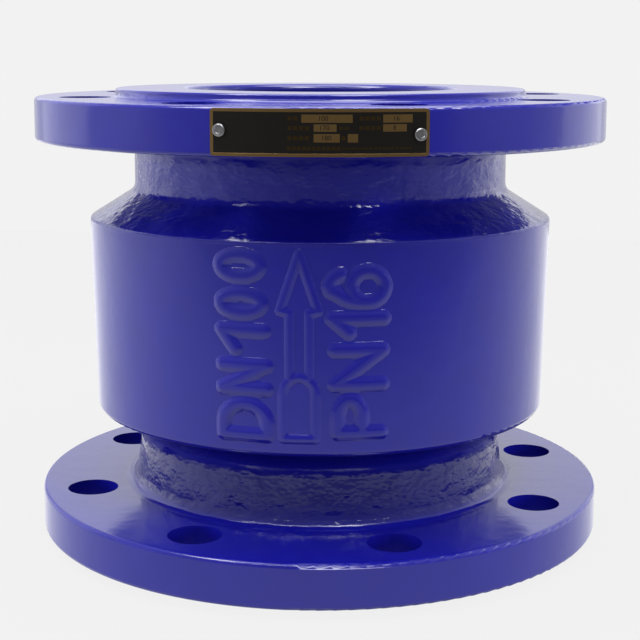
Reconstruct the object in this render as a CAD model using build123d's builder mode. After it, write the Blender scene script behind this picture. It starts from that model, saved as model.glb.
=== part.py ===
from build123d import *
import os
from math import cos, radians, sin, tan

# Flanged ends of the casting, to the usual DN 100 and PN 16 sizes
face_to_face = 170.0
neck_diameter = 142.4
flange_thickness = 19.0
raised_face_height = 3.0
bolt_hole_diameter = 19.0
bolt_hole_count = 8
neck_to_bolt_circle = 18.8
bolt_circle_to_rim = 18.0
raised_face_to_bolt_hole = 2.5
outlet_port_diameter = 102.0

# Outside of the casting between the flanges
inlet_neck_height = 29.3
inlet_neck_flare = 1.0
inlet_neck_draft_angle = 7.0
outlet_neck_height = 18.88
shoulder_width = 17.0
barrel_draft_angle = 1.5
shoulder_angle = 32.0

# Walls of the casting
neck_wall = 9.0
barrel_wall = 8.0
barrel_floor = 8.0
shoulder_wall = 8.0
outlet_land = 20.0
outlet_flare = 12.0

# Rounds of the casting
rim_round = 1.5
face_step_round = 2.0
raised_edge_round = 1.0
face_edge_round = 0.5
port_edge_round = 2.5
flange_root_fillet = 5.0
outlet_root_fillet = 3.0
barrel_root_fillet = 8.0
barrel_bottom_round = 2.5
barrel_top_round = 1.5
shoulder_root_fillet = 4.5
chamber_fillet = 6.0
floor_lip_round = 2.0
rib_edge_round = 1.5

# Guide spider that is cast in the outlet
spider_rib_count = 3
outlet_hub_setback = 24.0
outlet_hub_length = 30.0
outlet_hub_bottom_diameter = 42.0
outlet_hub_top_diameter = 26.0
outlet_rib_thickness = 7.0
outlet_rib_foot = 7.0
outlet_rib_head = 2.0
rib_root_depth = 4.0
first_rib_angle = 90.0

# Clearances
running_clearance = 0.05
seating_clearance = 0.05
press_clearance = 0.02
thread_clearance = 0.05
closed_gap = 0.3

# Stem, stroke and bushes
stem_diameter = 12.0
stem_foot_height = 3.5
stem_head_setback = 3.0
stem_chamfer = 1.0
stem_collar_diameter = 20.0
stem_collar_thickness = 4.0
collar_gap = 2.3
bush_wall = 3.0
bush_flange_width = 3.2
bush_flange_thickness = 2.0
bush_tail = 3.5
bush_lead_in = 0.6

# Retaining rings of the bushes
ring_thickness = 1.2
ring_groove_depth = 0.6
ring_width = 2.6
ring_opening_angle = 70.0
ring_side_clearance = 0.1

# Seat ring that is screwed into the inlet
gasket_land_width = 8.0
seat_recess_depth = 10.0
seat_housing_wall = 11.2
seat_ring_wall = 10.0
seat_ring_setback = 0.3
seat_ring_top_height = 46.0
seat_lip_width = 3.5
seat_lip_height = 2.0
seat_entry_round = 2.0
seat_hub_length = 26.0
seat_hub_diameter = 25.0
seat_hub_round = 1.0
seat_rib_thickness = 5.0
seat_rib_foot = 2.0
seat_rib_length = 18.0
seat_groove_height = 20.0
seat_groove_width = 3.6
seat_groove_depth = 2.6
o_ring_side_clearance = 0.02

# Screws of the seat ring
seat_screw_count = 4
seat_screw_inset = 6.0
seat_screw_diameter = 5.0
seat_screw_head_diameter = 9.2
seat_screw_length = 22.0
seat_screw_socket = 3.0
screw_end_clearance = 1.0
first_seat_screw_angle = 45.0
screw_socket_depth = 1.8

# Disc and its rubber seal ring
disc_overhang = 3.0
disc_rim_thickness = 4.5
disc_crown_diameter = 56.0
disc_crown_height = 5.0
disc_edge_round = 1.2
seal_ring_bore = 76.0
seal_ring_thickness = 5.0
retainer_clearance = 1.5
retainer_thickness = 4.0
retainer_round = 1.2

# Screws of the seal retainer
retainer_screw_count = 4
retainer_screw_circle = 60.0
retainer_screw_diameter = 4.0
retainer_screw_head_diameter = 7.5
retainer_screw_length = 12.0
retainer_screw_socket = 2.5
first_retainer_screw_angle = 0.0

# Spring, its seats and the nut stack on the stem
spring_seat_diameter = 44.0
spring_seat_thickness = 2.0
spring_recess_depth = 1.0
washer_thickness = 1.2
washer_diameter = 21.0
nut_width = 19.0
nut_height = 8.0
nut_chamfer = 1.0
spring_wire_diameter = 2.5
spring_mean_diameter = 35.0
spring_turns = 7.0
stop_sleeve_wall = 3.4
stop_sleeve_length = 18.7

# Nameplate and its two rivets
plate_length_angle = 37.1
plate_height = 15.0
plate_thickness = 0.5
plate_corner_radius = 1.2
plate_centre_angle = 5.9
rivet_angle = 16.86
rivet_rise = -0.6
rivet_shank_diameter = 2.0
rivet_shank_length = 6.0
rivet_head_diameter = 4.2
rivet_head_height = 1.1
rivet_head_round = 0.6

os.makedirs("parts", exist_ok=True)

# Radii and heights that follow from the driving dimensions
neck_radius = neck_diameter / 2
bolt_circle_radius = neck_radius + neck_to_bolt_circle
flange_radius = bolt_circle_radius + bolt_circle_to_rim
raised_radius = bolt_circle_radius - bolt_hole_diameter / 2 - raised_face_to_bolt_hole
barrel_radius = neck_radius + shoulder_width
port_radius = outlet_port_diameter / 2
stem_radius = stem_diameter / 2
outlet_flange_height = face_to_face - flange_thickness
outlet_step_height = face_to_face - raised_face_height
shoulder_slope = tan(radians(shoulder_angle))
shoulder_top_height = outlet_flange_height - outlet_neck_height
barrel_top_height = shoulder_top_height - shoulder_width * shoulder_slope
barrel_bottom_height = flange_thickness + inlet_neck_height
barrel_height = barrel_top_height - barrel_bottom_height
barrel_foot_radius = barrel_radius - barrel_height * tan(radians(barrel_draft_angle))
neck_bore_radius = neck_radius - neck_wall
inlet_neck_foot_radius = neck_radius + inlet_neck_flare
inlet_neck_taper = inlet_neck_height * tan(radians(inlet_neck_draft_angle))
inlet_neck_head_radius = inlet_neck_foot_radius - inlet_neck_taper
chamber_radius = barrel_foot_radius - barrel_wall
chamber_floor_height = barrel_bottom_height + barrel_floor
shoulder_drop = shoulder_wall / cos(radians(shoulder_angle))
chamber_top_height = (
    barrel_top_height + (barrel_radius - chamber_radius) * shoulder_slope - shoulder_drop
)
neck_mouth_height = (
    barrel_top_height + (barrel_radius - neck_bore_radius) * shoulder_slope - shoulder_drop
)
outlet_land_height = face_to_face - outlet_land
outlet_flare_height = outlet_land_height - outlet_flare
recess_radius = raised_radius - gasket_land_width
seat_bore_radius = neck_radius - seat_housing_wall
seat_port_radius = seat_bore_radius - seat_ring_wall
seat_lip_radius = seat_port_radius + seat_lip_width
seat_screw_circle_radius = recess_radius - seat_screw_inset
disc_radius = seat_lip_radius + disc_overhang
seal_foot_height = seat_ring_top_height + closed_gap
retainer_foot_height = seal_foot_height - retainer_thickness
collar_foot_height = retainer_foot_height - stem_collar_thickness
seat_hub_top_height = collar_foot_height - collar_gap - bush_flange_thickness
seat_hub_bottom_height = seat_hub_top_height - seat_hub_length
bush_radius = stem_radius + running_clearance + bush_wall
bush_bore_radius = stem_radius + running_clearance
bush_seat_radius = bush_radius + press_clearance
bush_flange_radius = bush_radius + bush_flange_width
outlet_hub_top_height = face_to_face - outlet_hub_setback
outlet_hub_bottom_height = outlet_hub_top_height - outlet_hub_length
outlet_rib_bottom_height = outlet_hub_bottom_height + outlet_rib_foot
outlet_rib_top_height = outlet_hub_top_height - outlet_rib_head
seat_screw_radius = seat_screw_diameter / 2
seat_screw_hole_radius = seat_screw_radius + thread_clearance
seat_screw_hole_depth = seat_ring_setback + seat_screw_length + screw_end_clearance
plate_middle_height = face_to_face - (flange_thickness + raised_face_height) / 2
rivet_hole_radius = rivet_shank_diameter / 2 + thread_clearance
front_angle = -90.0


def rim_plane(angle, radius, height):
    """Plane that is square to the rim at an angle, with its normal pointing outwards."""
    bearing = radians(front_angle + angle)
    outwards = Vector(cos(bearing), sin(bearing), 0)
    along_rim = Vector(-sin(bearing), cos(bearing), 0)
    return Plane(origin=outwards * radius + Vector(0, 0, height), x_dir=along_rim, z_dir=outwards)


# Casting of the valve: both flanges, necks, barrel and outlet spider in one piece
casting_outline = [
    (recess_radius, 0, 0),
    (raised_radius, 0, raised_edge_round),
    (raised_radius, raised_face_height, face_step_round),
    (flange_radius, raised_face_height, rim_round),
    (flange_radius, flange_thickness, rim_round),
    (inlet_neck_foot_radius, flange_thickness, flange_root_fillet),
    (inlet_neck_head_radius, barrel_bottom_height, barrel_root_fillet),
    (barrel_foot_radius, barrel_bottom_height, barrel_bottom_round),
    (barrel_radius, barrel_top_height, barrel_top_round),
    (neck_radius, shoulder_top_height, shoulder_root_fillet),
    (neck_radius, outlet_flange_height, outlet_root_fillet),
    (flange_radius, outlet_flange_height, rim_round),
    (flange_radius, outlet_step_height, rim_round),
    (raised_radius, outlet_step_height, face_step_round),
    (raised_radius, face_to_face, raised_edge_round),
    (port_radius, face_to_face, port_edge_round),
    (port_radius, outlet_land_height, chamber_fillet),
    (neck_bore_radius, outlet_flare_height, chamber_fillet),
    (neck_bore_radius, neck_mouth_height, chamber_fillet),
    (chamber_radius, chamber_top_height, chamber_fillet),
    (chamber_radius, chamber_floor_height, chamber_fillet),
    (seat_bore_radius, chamber_floor_height, floor_lip_round),
    (seat_bore_radius, seat_recess_depth, 0),
    (recess_radius, seat_recess_depth, 0),
]
with BuildPart() as valve_body:
    with BuildSketch(Plane.XZ):
        with BuildLine():
            FilletPolyline(
                [(radius, height) for radius, height, corner in casting_outline],
                radius=[corner for radius, height, corner in casting_outline],
                close=True,
            )
        make_face()
    revolve(axis=Axis.Z)
    with BuildSketch(Plane.XY.offset(outlet_rib_bottom_height)):
        with PolarLocations(
            (neck_bore_radius + rib_root_depth) / 2, spider_rib_count, start_angle=first_rib_angle
        ):
            Rectangle(neck_bore_radius + rib_root_depth, outlet_rib_thickness)
    extrude(amount=outlet_rib_top_height - outlet_rib_bottom_height)
    with BuildSketch(Plane.XZ):
        with BuildLine():
            Polyline(
                (0, outlet_hub_bottom_height),
                (outlet_hub_bottom_diameter / 2, outlet_hub_bottom_height),
                (outlet_hub_top_diameter / 2, outlet_hub_top_height),
                (0, outlet_hub_top_height),
                close=True,
            )
        make_face()
    revolve(axis=Axis.Z)
    rib_edges = (
        valve_body.edges()
        .filter_by(GeomType.LINE)
        .filter_by_position(Axis.Z, outlet_rib_bottom_height - 1, outlet_hub_top_height + 1)
        .filter_by(lambda edge: abs(edge.tangent_at(0).Z) < 0.01)
        .filter_by(lambda edge: edge.length > outlet_rib_thickness * 2)
    )
    fillet(rib_edges, rib_edge_round)
    with Locations(Plane.XY.offset(outlet_hub_top_height)):
        Hole(bush_seat_radius, outlet_hub_length + bush_flange_thickness)
    for flange_height in (0, outlet_flange_height):
        with BuildSketch(Plane.XY.offset(flange_height)):
            with PolarLocations(
                bolt_circle_radius, bolt_hole_count, start_angle=180 / bolt_hole_count
            ):
                Circle(bolt_hole_diameter / 2)
        extrude(amount=flange_thickness, mode=Mode.SUBTRACT)
    with BuildSketch(Plane.XY):
        with PolarLocations(
            seat_screw_circle_radius, seat_screw_count, start_angle=first_seat_screw_angle
        ):
            Circle(seat_screw_hole_radius)
    extrude(amount=seat_screw_hole_depth, mode=Mode.SUBTRACT)
    for side in (-1, 1):
        rivet_place = rim_plane(
            plate_centre_angle + side * rivet_angle,
            flange_radius,
            plate_middle_height + side * rivet_rise,
        )
        with Locations(rivet_place):
            Hole(rivet_hole_radius, rivet_shank_length + screw_end_clearance)
valve_body.part.label = "valve_body"
export_step(valve_body.part, "parts/valve_body.step")

# Seat ring with its lip, sleeve and flange
seat_sleeve_radius = seat_bore_radius - seating_clearance
seat_flange_radius = recess_radius - seating_clearance
seat_step_height = seat_ring_top_height - seat_lip_height
seat_outline = [
    (seat_port_radius, seat_ring_setback, seat_entry_round),
    (seat_flange_radius, seat_ring_setback, face_edge_round),
    (seat_flange_radius, seat_recess_depth, 0),
    (seat_sleeve_radius, seat_recess_depth, 0),
    (seat_sleeve_radius, seat_step_height, face_edge_round),
    (seat_lip_radius, seat_step_height, face_edge_round),
    (seat_lip_radius, seat_ring_top_height, face_edge_round),
    (seat_port_radius, seat_ring_top_height, face_edge_round),
]
inlet_side = Plane(origin=(0, 0, seat_ring_setback), x_dir=(1, 0, 0), z_dir=(0, 0, -1))
with BuildPart() as seat_ring:
    with BuildSketch(Plane.XZ):
        with BuildLine():
            FilletPolyline(
                [(radius, height) for radius, height, corner in seat_outline],
                radius=[corner for radius, height, corner in seat_outline],
                close=True,
            )
        make_face()
    revolve(axis=Axis.Z)
    with Locations(inlet_side):
        with PolarLocations(
            seat_screw_circle_radius, seat_screw_count, start_angle=first_seat_screw_angle
        ):
            CounterSinkHole(
                seat_screw_hole_radius,
                seat_screw_head_diameter / 2 + thread_clearance,
                seat_screw_hole_depth,
                counter_sink_angle=90,
            )
    with BuildSketch(Plane.XZ):
        with Locations((seat_sleeve_radius - seat_groove_depth, seat_groove_height)):
            Rectangle(seat_groove_depth * 2, seat_groove_width, align=(Align.MIN, Align.MIN))
    revolve(axis=Axis.Z, mode=Mode.SUBTRACT)
seat_ring.part.label = "seat_ring"
export_step(seat_ring.part, "parts/seat_ring.step")

# Guide spider that is welded into the seat ring's bore, three ribs around a hub
spider_radius = seat_port_radius - press_clearance
with BuildPart() as inlet_guide_spider:
    with BuildSketch(Plane.XY.offset(seat_hub_bottom_height + seat_rib_foot)):
        with PolarLocations(seat_port_radius / 2, spider_rib_count, start_angle=first_rib_angle):
            Rectangle(seat_port_radius, seat_rib_thickness)
    extrude(amount=seat_rib_length)
    with BuildSketch(Plane.XY.offset(seat_hub_bottom_height + seat_rib_foot)):
        Circle(spider_radius)
    extrude(amount=seat_rib_length, mode=Mode.INTERSECT)
    with BuildSketch(Plane.XY.offset(seat_hub_bottom_height)):
        Circle(seat_hub_diameter / 2)
    extrude(amount=seat_hub_length)
    hub_rims = (
        inlet_guide_spider.edges()
        .filter_by(GeomType.CIRCLE)
        .filter_by(lambda edge: edge.is_closed)
    )
    fillet(hub_rims, seat_hub_round)
    with Locations(Plane.XY.offset(seat_hub_top_height)):
        Hole(bush_seat_radius, seat_hub_length + bush_tail)
inlet_guide_spider.part.label = "inlet_guide_spider"
export_step(inlet_guide_spider.part, "parts/inlet_guide_spider.step")

# Rubber ring that seals the seat ring's sleeve in the casting
groove_floor_radius = seat_sleeve_radius - seat_groove_depth
o_ring_radius = (seat_bore_radius - groove_floor_radius) / 2 - o_ring_side_clearance
with BuildPart() as seat_o_ring:
    with Locations((0, 0, seat_groove_height + seat_groove_width / 2)):
        Torus((seat_bore_radius + groove_floor_radius) / 2, o_ring_radius)
seat_o_ring.part.label = "seat_o_ring"
export_step(seat_o_ring.part, "parts/seat_o_ring.step")


def screw_outline(head_diameter, shank_diameter, length):
    """Half section of a countersunk screw, head at height 0 and shank along +Z."""
    head_radius = head_diameter / 2
    shank_radius = shank_diameter / 2
    tip_chamfer = shank_radius / 4
    return [
        (0, 0),
        (head_radius, 0),
        (shank_radius, head_radius - shank_radius),
        (shank_radius, length - tip_chamfer),
        (shank_radius - tip_chamfer, length),
        (0, length),
    ]


# Countersunk screws of the seat ring
with BuildPart() as seat_screw:
    with BuildSketch(Plane.XZ):
        with BuildLine():
            Polyline(
                screw_outline(seat_screw_head_diameter, seat_screw_diameter, seat_screw_length),
                close=True,
            )
        make_face()
    revolve(axis=Axis.Z)
    with BuildSketch(Plane.XY):
        RegularPolygon(seat_screw_socket / 2, 6, major_radius=False)
    extrude(amount=screw_socket_depth, mode=Mode.SUBTRACT)
with BuildPart() as seat_ring_screws:
    with Locations((0, 0, seat_ring_setback)):
        with PolarLocations(
            seat_screw_circle_radius, seat_screw_count, start_angle=first_seat_screw_angle
        ):
            add(seat_screw.part)
seat_ring_screws.part.label = "seat_ring_screws"
export_step(seat_ring_screws.part, "parts/seat_ring_screws.step")


def bush_outline(flange_face, hub_face, tail_end):
    """Half section of a guide bush, from its flange's free face to its plain end."""
    towards_tail = 1 if tail_end > hub_face else -1
    tail_hub_face = tail_end - towards_tail * bush_tail
    groove_end = tail_hub_face + towards_tail * (ring_thickness + ring_side_clearance)
    return [
        (bush_bore_radius + bush_lead_in, flange_face),
        (bush_flange_radius, flange_face),
        (bush_flange_radius, hub_face),
        (bush_radius, hub_face),
        (bush_radius, tail_hub_face),
        (bush_radius - ring_groove_depth, tail_hub_face),
        (bush_radius - ring_groove_depth, groove_end),
        (bush_radius, groove_end),
        (bush_radius, tail_end),
        (bush_bore_radius + bush_lead_in, tail_end),
        (bush_bore_radius, tail_end - towards_tail * bush_lead_in),
        (bush_bore_radius, flange_face + towards_tail * bush_lead_in),
    ]


# Lower guide bush, dropped into the inlet spider's hub from above
lower_bush_top_height = seat_hub_top_height + bush_flange_thickness
lower_bush_foot_height = seat_hub_bottom_height - bush_tail
with BuildPart() as lower_guide_bush:
    with BuildSketch(Plane.XZ):
        with BuildLine():
            Polyline(
                bush_outline(lower_bush_top_height, seat_hub_top_height, lower_bush_foot_height),
                close=True,
            )
        make_face()
    revolve(axis=Axis.Z)
lower_guide_bush.part.label = "lower_guide_bush"
export_step(lower_guide_bush.part, "parts/lower_guide_bush.step")

# Upper guide bush, pushed into the casting's hub from below
upper_bush_foot_height = outlet_hub_bottom_height - bush_flange_thickness
upper_bush_top_height = outlet_hub_top_height + bush_tail
with BuildPart() as upper_guide_bush:
    with BuildSketch(Plane.XZ):
        with BuildLine():
            Polyline(
                bush_outline(
                    upper_bush_foot_height, outlet_hub_bottom_height, upper_bush_top_height
                ),
                close=True,
            )
        make_face()
    revolve(axis=Axis.Z)
upper_guide_bush.part.label = "upper_guide_bush"
export_step(upper_guide_bush.part, "parts/upper_guide_bush.step")

# Open retaining rings that lock the bushes in their hubs
ring_bore_radius = bush_radius - ring_groove_depth + press_clearance
ring_sweep = 360 - ring_opening_angle
with BuildPart() as lower_retaining_ring:
    with BuildSketch(Plane.XZ):
        with Locations((ring_bore_radius, seat_hub_bottom_height - ring_thickness)):
            Rectangle(ring_width, ring_thickness, align=(Align.MIN, Align.MIN))
    revolve(axis=Axis.Z, revolution_arc=ring_sweep)
lower_retaining_ring.part.label = "lower_retaining_ring"
export_step(lower_retaining_ring.part, "parts/lower_retaining_ring.step")
with BuildPart() as upper_retaining_ring:
    with BuildSketch(Plane.XZ):
        with Locations((ring_bore_radius, outlet_hub_top_height)):
            Rectangle(ring_width, ring_thickness, align=(Align.MIN, Align.MIN))
    revolve(axis=Axis.Z, revolution_arc=ring_sweep)
upper_retaining_ring.part.label = "upper_retaining_ring"
export_step(upper_retaining_ring.part, "parts/upper_retaining_ring.step")

# Stem with its collar, which carries everything that lifts
with BuildPart() as stem:
    with BuildSketch(Plane.XY.offset(stem_foot_height)):
        Circle(stem_radius)
    extrude(amount=outlet_hub_top_height - stem_head_setback - stem_foot_height)
    chamfer(stem.edges().filter_by(GeomType.CIRCLE), stem_chamfer)
    with BuildSketch(Plane.XY.offset(collar_foot_height)):
        Circle(stem_collar_diameter / 2)
    extrude(amount=stem_collar_thickness)
stem.part.label = "stem"
export_step(stem.part, "parts/stem.step")

# Disc that closes on the seat lip
disc_bore_radius = stem_radius + seating_clearance
disc_boss_radius = seal_ring_bore / 2 - seating_clearance
disc_face_height = seal_foot_height + seal_ring_thickness
disc_shoulder_height = disc_face_height + disc_rim_thickness
disc_crown_top_height = disc_shoulder_height + disc_crown_height
spring_pocket_height = disc_crown_top_height - spring_recess_depth
spring_pocket_radius = spring_seat_diameter / 2 + seating_clearance
disc_outline = [
    (disc_bore_radius, seal_foot_height, 0),
    (disc_boss_radius, seal_foot_height, 0),
    (disc_boss_radius, disc_face_height, 0),
    (disc_radius, disc_face_height, face_edge_round),
    (disc_radius, disc_shoulder_height, disc_edge_round),
    (disc_crown_diameter / 2, disc_crown_top_height, disc_edge_round),
    (spring_pocket_radius, disc_crown_top_height, 0),
    (spring_pocket_radius, spring_pocket_height, 0),
    (disc_bore_radius, spring_pocket_height, 0),
]
retainer_side = Plane(origin=(0, 0, retainer_foot_height), x_dir=(1, 0, 0), z_dir=(0, 0, -1))
retainer_hole_radius = retainer_screw_diameter / 2 + thread_clearance
retainer_hole_depth = retainer_screw_length + screw_end_clearance
with BuildPart() as valve_disc:
    with BuildSketch(Plane.XZ):
        with BuildLine():
            FilletPolyline(
                [(radius, height) for radius, height, corner in disc_outline],
                radius=[corner for radius, height, corner in disc_outline],
                close=True,
            )
        make_face()
    revolve(axis=Axis.Z)
    with Locations(retainer_side):
        with PolarLocations(
            retainer_screw_circle / 2,
            retainer_screw_count,
            start_angle=first_retainer_screw_angle,
        ):
            Hole(retainer_hole_radius, retainer_hole_depth)
valve_disc.part.label = "valve_disc"
export_step(valve_disc.part, "parts/valve_disc.step")

# Flat rubber ring under the disc
with BuildPart() as disc_seal_ring:
    with BuildSketch(Plane.XY.offset(seal_foot_height)):
        Circle(disc_radius)
        Circle(seal_ring_bore / 2, mode=Mode.SUBTRACT)
    extrude(amount=seal_ring_thickness)
    outer_edges = disc_seal_ring.edges().filter_by(GeomType.CIRCLE).sort_by(SortBy.RADIUS)[-2:]
    fillet(outer_edges, face_edge_round)
disc_seal_ring.part.label = "disc_seal_ring"
export_step(disc_seal_ring.part, "parts/disc_seal_ring.step")

# Plate that clamps the seal ring from below
with BuildPart() as seal_retainer:
    with BuildSketch(Plane.XY.offset(retainer_foot_height)):
        Circle(seat_port_radius - retainer_clearance)
    extrude(amount=retainer_thickness)
    fillet(seal_retainer.edges().group_by(Axis.Z)[0], retainer_round)
    with BuildSketch(Plane.XY.offset(retainer_foot_height)):
        Circle(disc_bore_radius)
    extrude(amount=retainer_thickness, mode=Mode.SUBTRACT)
    with Locations(retainer_side):
        with PolarLocations(
            retainer_screw_circle / 2,
            retainer_screw_count,
            start_angle=first_retainer_screw_angle,
        ):
            CounterSinkHole(
                retainer_hole_radius,
                retainer_screw_head_diameter / 2 + thread_clearance,
                retainer_thickness,
                counter_sink_angle=90,
            )
seal_retainer.part.label = "seal_retainer"
export_step(seal_retainer.part, "parts/seal_retainer.step")

# Countersunk screws of the seal retainer
with BuildPart() as retainer_screw:
    with BuildSketch(Plane.XZ):
        with BuildLine():
            Polyline(
                screw_outline(
                    retainer_screw_head_diameter, retainer_screw_diameter, retainer_screw_length
                ),
                close=True,
            )
        make_face()
    revolve(axis=Axis.Z)
    with BuildSketch(Plane.XY):
        RegularPolygon(retainer_screw_socket / 2, 6, major_radius=False)
    extrude(amount=screw_socket_depth, mode=Mode.SUBTRACT)
with BuildPart() as seal_retainer_screws:
    with Locations((0, 0, retainer_foot_height)):
        with PolarLocations(
            retainer_screw_circle / 2,
            retainer_screw_count,
            start_angle=first_retainer_screw_angle,
        ):
            add(retainer_screw.part)
seal_retainer_screws.part.label = "seal_retainer_screws"
export_step(seal_retainer_screws.part, "parts/seal_retainer_screws.step")

# Lower spring seat, lying in the pocket on the disc
lower_seat_top_height = spring_pocket_height + spring_seat_thickness
with BuildPart() as lower_spring_seat:
    with BuildSketch(Plane.XY.offset(spring_pocket_height)):
        Circle(spring_seat_diameter / 2)
        Circle(disc_bore_radius, mode=Mode.SUBTRACT)
    extrude(amount=spring_seat_thickness)
lower_spring_seat.part.label = "lower_spring_seat"
export_step(lower_spring_seat.part, "parts/lower_spring_seat.step")

# Lock washer under the stem nut
washer_top_height = lower_seat_top_height + washer_thickness
with BuildPart() as stem_lock_washer:
    with BuildSketch(Plane.XY.offset(lower_seat_top_height)):
        Circle(washer_diameter / 2)
        Circle(disc_bore_radius, mode=Mode.SUBTRACT)
    extrude(amount=washer_thickness)
stem_lock_washer.part.label = "stem_lock_washer"
export_step(stem_lock_washer.part, "parts/stem_lock_washer.step")

# Hexagon nut that clamps the disc against the stem's collar
nut_top_height = washer_top_height + nut_height
nut_corner_radius = nut_width / 2 / cos(radians(30))
with BuildPart() as stem_nut:
    with BuildSketch(Plane.XY.offset(washer_top_height)):
        RegularPolygon(nut_width / 2, 6, major_radius=False)
    extrude(amount=nut_height)
    with BuildSketch(Plane.XZ):
        with BuildLine():
            Polyline(
                (0, washer_top_height),
                (nut_corner_radius, washer_top_height),
                (nut_corner_radius, nut_top_height - nut_chamfer / 2),
                (nut_corner_radius - nut_chamfer, nut_top_height),
                (0, nut_top_height),
                close=True,
            )
        make_face()
    revolve(axis=Axis.Z, mode=Mode.INTERSECT)
    with Locations(Plane.XY.offset(nut_top_height)):
        Hole(disc_bore_radius, nut_height)
stem_nut.part.label = "stem_nut"
export_step(stem_nut.part, "parts/stem_nut.step")

# Sleeve on the stem that meets the upper bush when the disc is fully lifted
with BuildPart() as lift_stop_sleeve:
    with BuildSketch(Plane.XY.offset(nut_top_height)):
        Circle(disc_bore_radius + stop_sleeve_wall)
        Circle(disc_bore_radius, mode=Mode.SUBTRACT)
    extrude(amount=stop_sleeve_length)
lift_stop_sleeve.part.label = "lift_stop_sleeve"
export_step(lift_stop_sleeve.part, "parts/lift_stop_sleeve.step")

# Upper spring seat around the upper bush's flange, under the casting's hub
upper_seat_foot_height = outlet_hub_bottom_height - spring_seat_thickness
with BuildPart() as upper_spring_seat:
    with BuildSketch(Plane.XY.offset(upper_seat_foot_height)):
        Circle(outlet_hub_bottom_diameter / 2)
        Circle(bush_flange_radius + seating_clearance, mode=Mode.SUBTRACT)
    extrude(amount=spring_seat_thickness)
upper_spring_seat.part.label = "upper_spring_seat"
export_step(upper_spring_seat.part, "parts/upper_spring_seat.step")

# Closing spring between the two spring seats
wire_radius = spring_wire_diameter / 2
spring_foot_height = lower_seat_top_height + wire_radius + seating_clearance
spring_rise = upper_seat_foot_height - wire_radius - seating_clearance - spring_foot_height
with BuildPart() as closing_spring:
    with BuildLine() as spring_path:
        Helix(
            pitch=spring_rise / spring_turns,
            height=spring_rise,
            radius=spring_mean_diameter / 2,
            center=(0, 0, spring_foot_height),
        )
    wire_plane = Plane(
        origin=spring_path.line @ 0, x_dir=(1, 0, 0), z_dir=spring_path.line % 0
    )
    with BuildSketch(wire_plane):
        Circle(wire_radius)
    sweep(path=spring_path.line, is_frenet=True)
closing_spring.part.label = "closing_spring"
export_step(closing_spring.part, "parts/closing_spring.step")

# Thin nameplate bent to the outlet flange's rim
plate_back_radius = flange_radius + seating_clearance
plate_face_radius = plate_back_radius + plate_thickness
plate_width = 2 * plate_face_radius * sin(radians(plate_length_angle / 2))
with BuildPart() as nameplate:
    with BuildSketch(rim_plane(plate_centre_angle, 0, plate_middle_height)):
        RectangleRounded(plate_width, plate_height, plate_corner_radius)
    extrude(amount=plate_face_radius + 1)
    with Locations((0, 0, plate_middle_height)):
        Cylinder(plate_face_radius, plate_height * 2, mode=Mode.INTERSECT)
        Cylinder(plate_back_radius, plate_height * 2, mode=Mode.SUBTRACT)
    for side in (-1, 1):
        rivet_place = rim_plane(
            plate_centre_angle + side * rivet_angle,
            plate_face_radius,
            plate_middle_height + side * rivet_rise,
        )
        with Locations(rivet_place):
            Hole(rivet_hole_radius, plate_thickness * 2)
nameplate.part.label = "nameplate"
export_step(nameplate.part, "parts/nameplate.step")

# Two round-head rivets of the nameplate
with BuildPart() as rivet:
    with BuildSketch(Plane.XY):
        Circle(rivet_head_diameter / 2)
    extrude(amount=rivet_head_height)
    fillet(rivet.edges().group_by(Axis.Z)[-1], rivet_head_round)
    with BuildSketch(Plane.XY):
        Circle(rivet_shank_diameter / 2)
    extrude(amount=-rivet_shank_length)
with BuildPart() as nameplate_rivets:
    for side in (-1, 1):
        rivet_place = rim_plane(
            plate_centre_angle + side * rivet_angle,
            plate_face_radius + seating_clearance,
            plate_middle_height + side * rivet_rise,
        )
        with Locations(rivet_place):
            add(rivet.part)
nameplate_rivets.part.label = "nameplate_rivets"
export_step(nameplate_rivets.part, "parts/nameplate_rivets.step")
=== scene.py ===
"""Non-return valve, DN 100 and PN 16: enamel, metals, cast marks, nameplate, spring and studio.

Lengths in the classes are in millimetres and angles in degrees, unless a comment says otherwise.
"""

from __future__ import annotations

import logging
import math
from collections.abc import Callable, Sequence
from dataclasses import dataclass
from enum import Enum

import bpy
from bpy.types import Material, MeshPolygon, Node, NodeSocket, NodeTree, Object
from mathutils import Euler, Matrix, Vector
from mathutils.kdtree import KDTree

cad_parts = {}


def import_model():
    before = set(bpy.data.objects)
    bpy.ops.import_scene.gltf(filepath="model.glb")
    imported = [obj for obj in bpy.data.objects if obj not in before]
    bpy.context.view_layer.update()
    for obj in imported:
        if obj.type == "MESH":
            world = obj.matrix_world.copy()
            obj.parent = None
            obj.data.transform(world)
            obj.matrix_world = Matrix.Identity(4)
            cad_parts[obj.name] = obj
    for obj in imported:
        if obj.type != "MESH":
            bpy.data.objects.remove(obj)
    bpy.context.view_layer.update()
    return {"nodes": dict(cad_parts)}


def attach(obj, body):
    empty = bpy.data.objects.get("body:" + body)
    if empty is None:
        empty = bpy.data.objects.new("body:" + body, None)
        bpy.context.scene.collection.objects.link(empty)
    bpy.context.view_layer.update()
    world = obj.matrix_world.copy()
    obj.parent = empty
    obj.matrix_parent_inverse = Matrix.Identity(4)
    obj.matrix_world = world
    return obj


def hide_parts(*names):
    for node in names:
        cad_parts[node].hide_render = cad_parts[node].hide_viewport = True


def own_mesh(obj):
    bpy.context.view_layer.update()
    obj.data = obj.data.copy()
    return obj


LOG = logging.getLogger("valve")
MM = 0.001
# Body of the frame that the new pieces ride on.
CASTING = "body"
# How far a face may be from a level and still count as on it.
LEVEL_SLACK = 0.01

# Points along a centre line, or pairs of a place and a level.
Line = Sequence[tuple[float, float]]


class Slot(Enum):
    """Material slots of the record, by name."""

    ENAMEL = "blue_enamel"
    PLATE = "plate_brass"
    RIVET = "rivet_steel"
    SPRING = "spring_steel"


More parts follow.
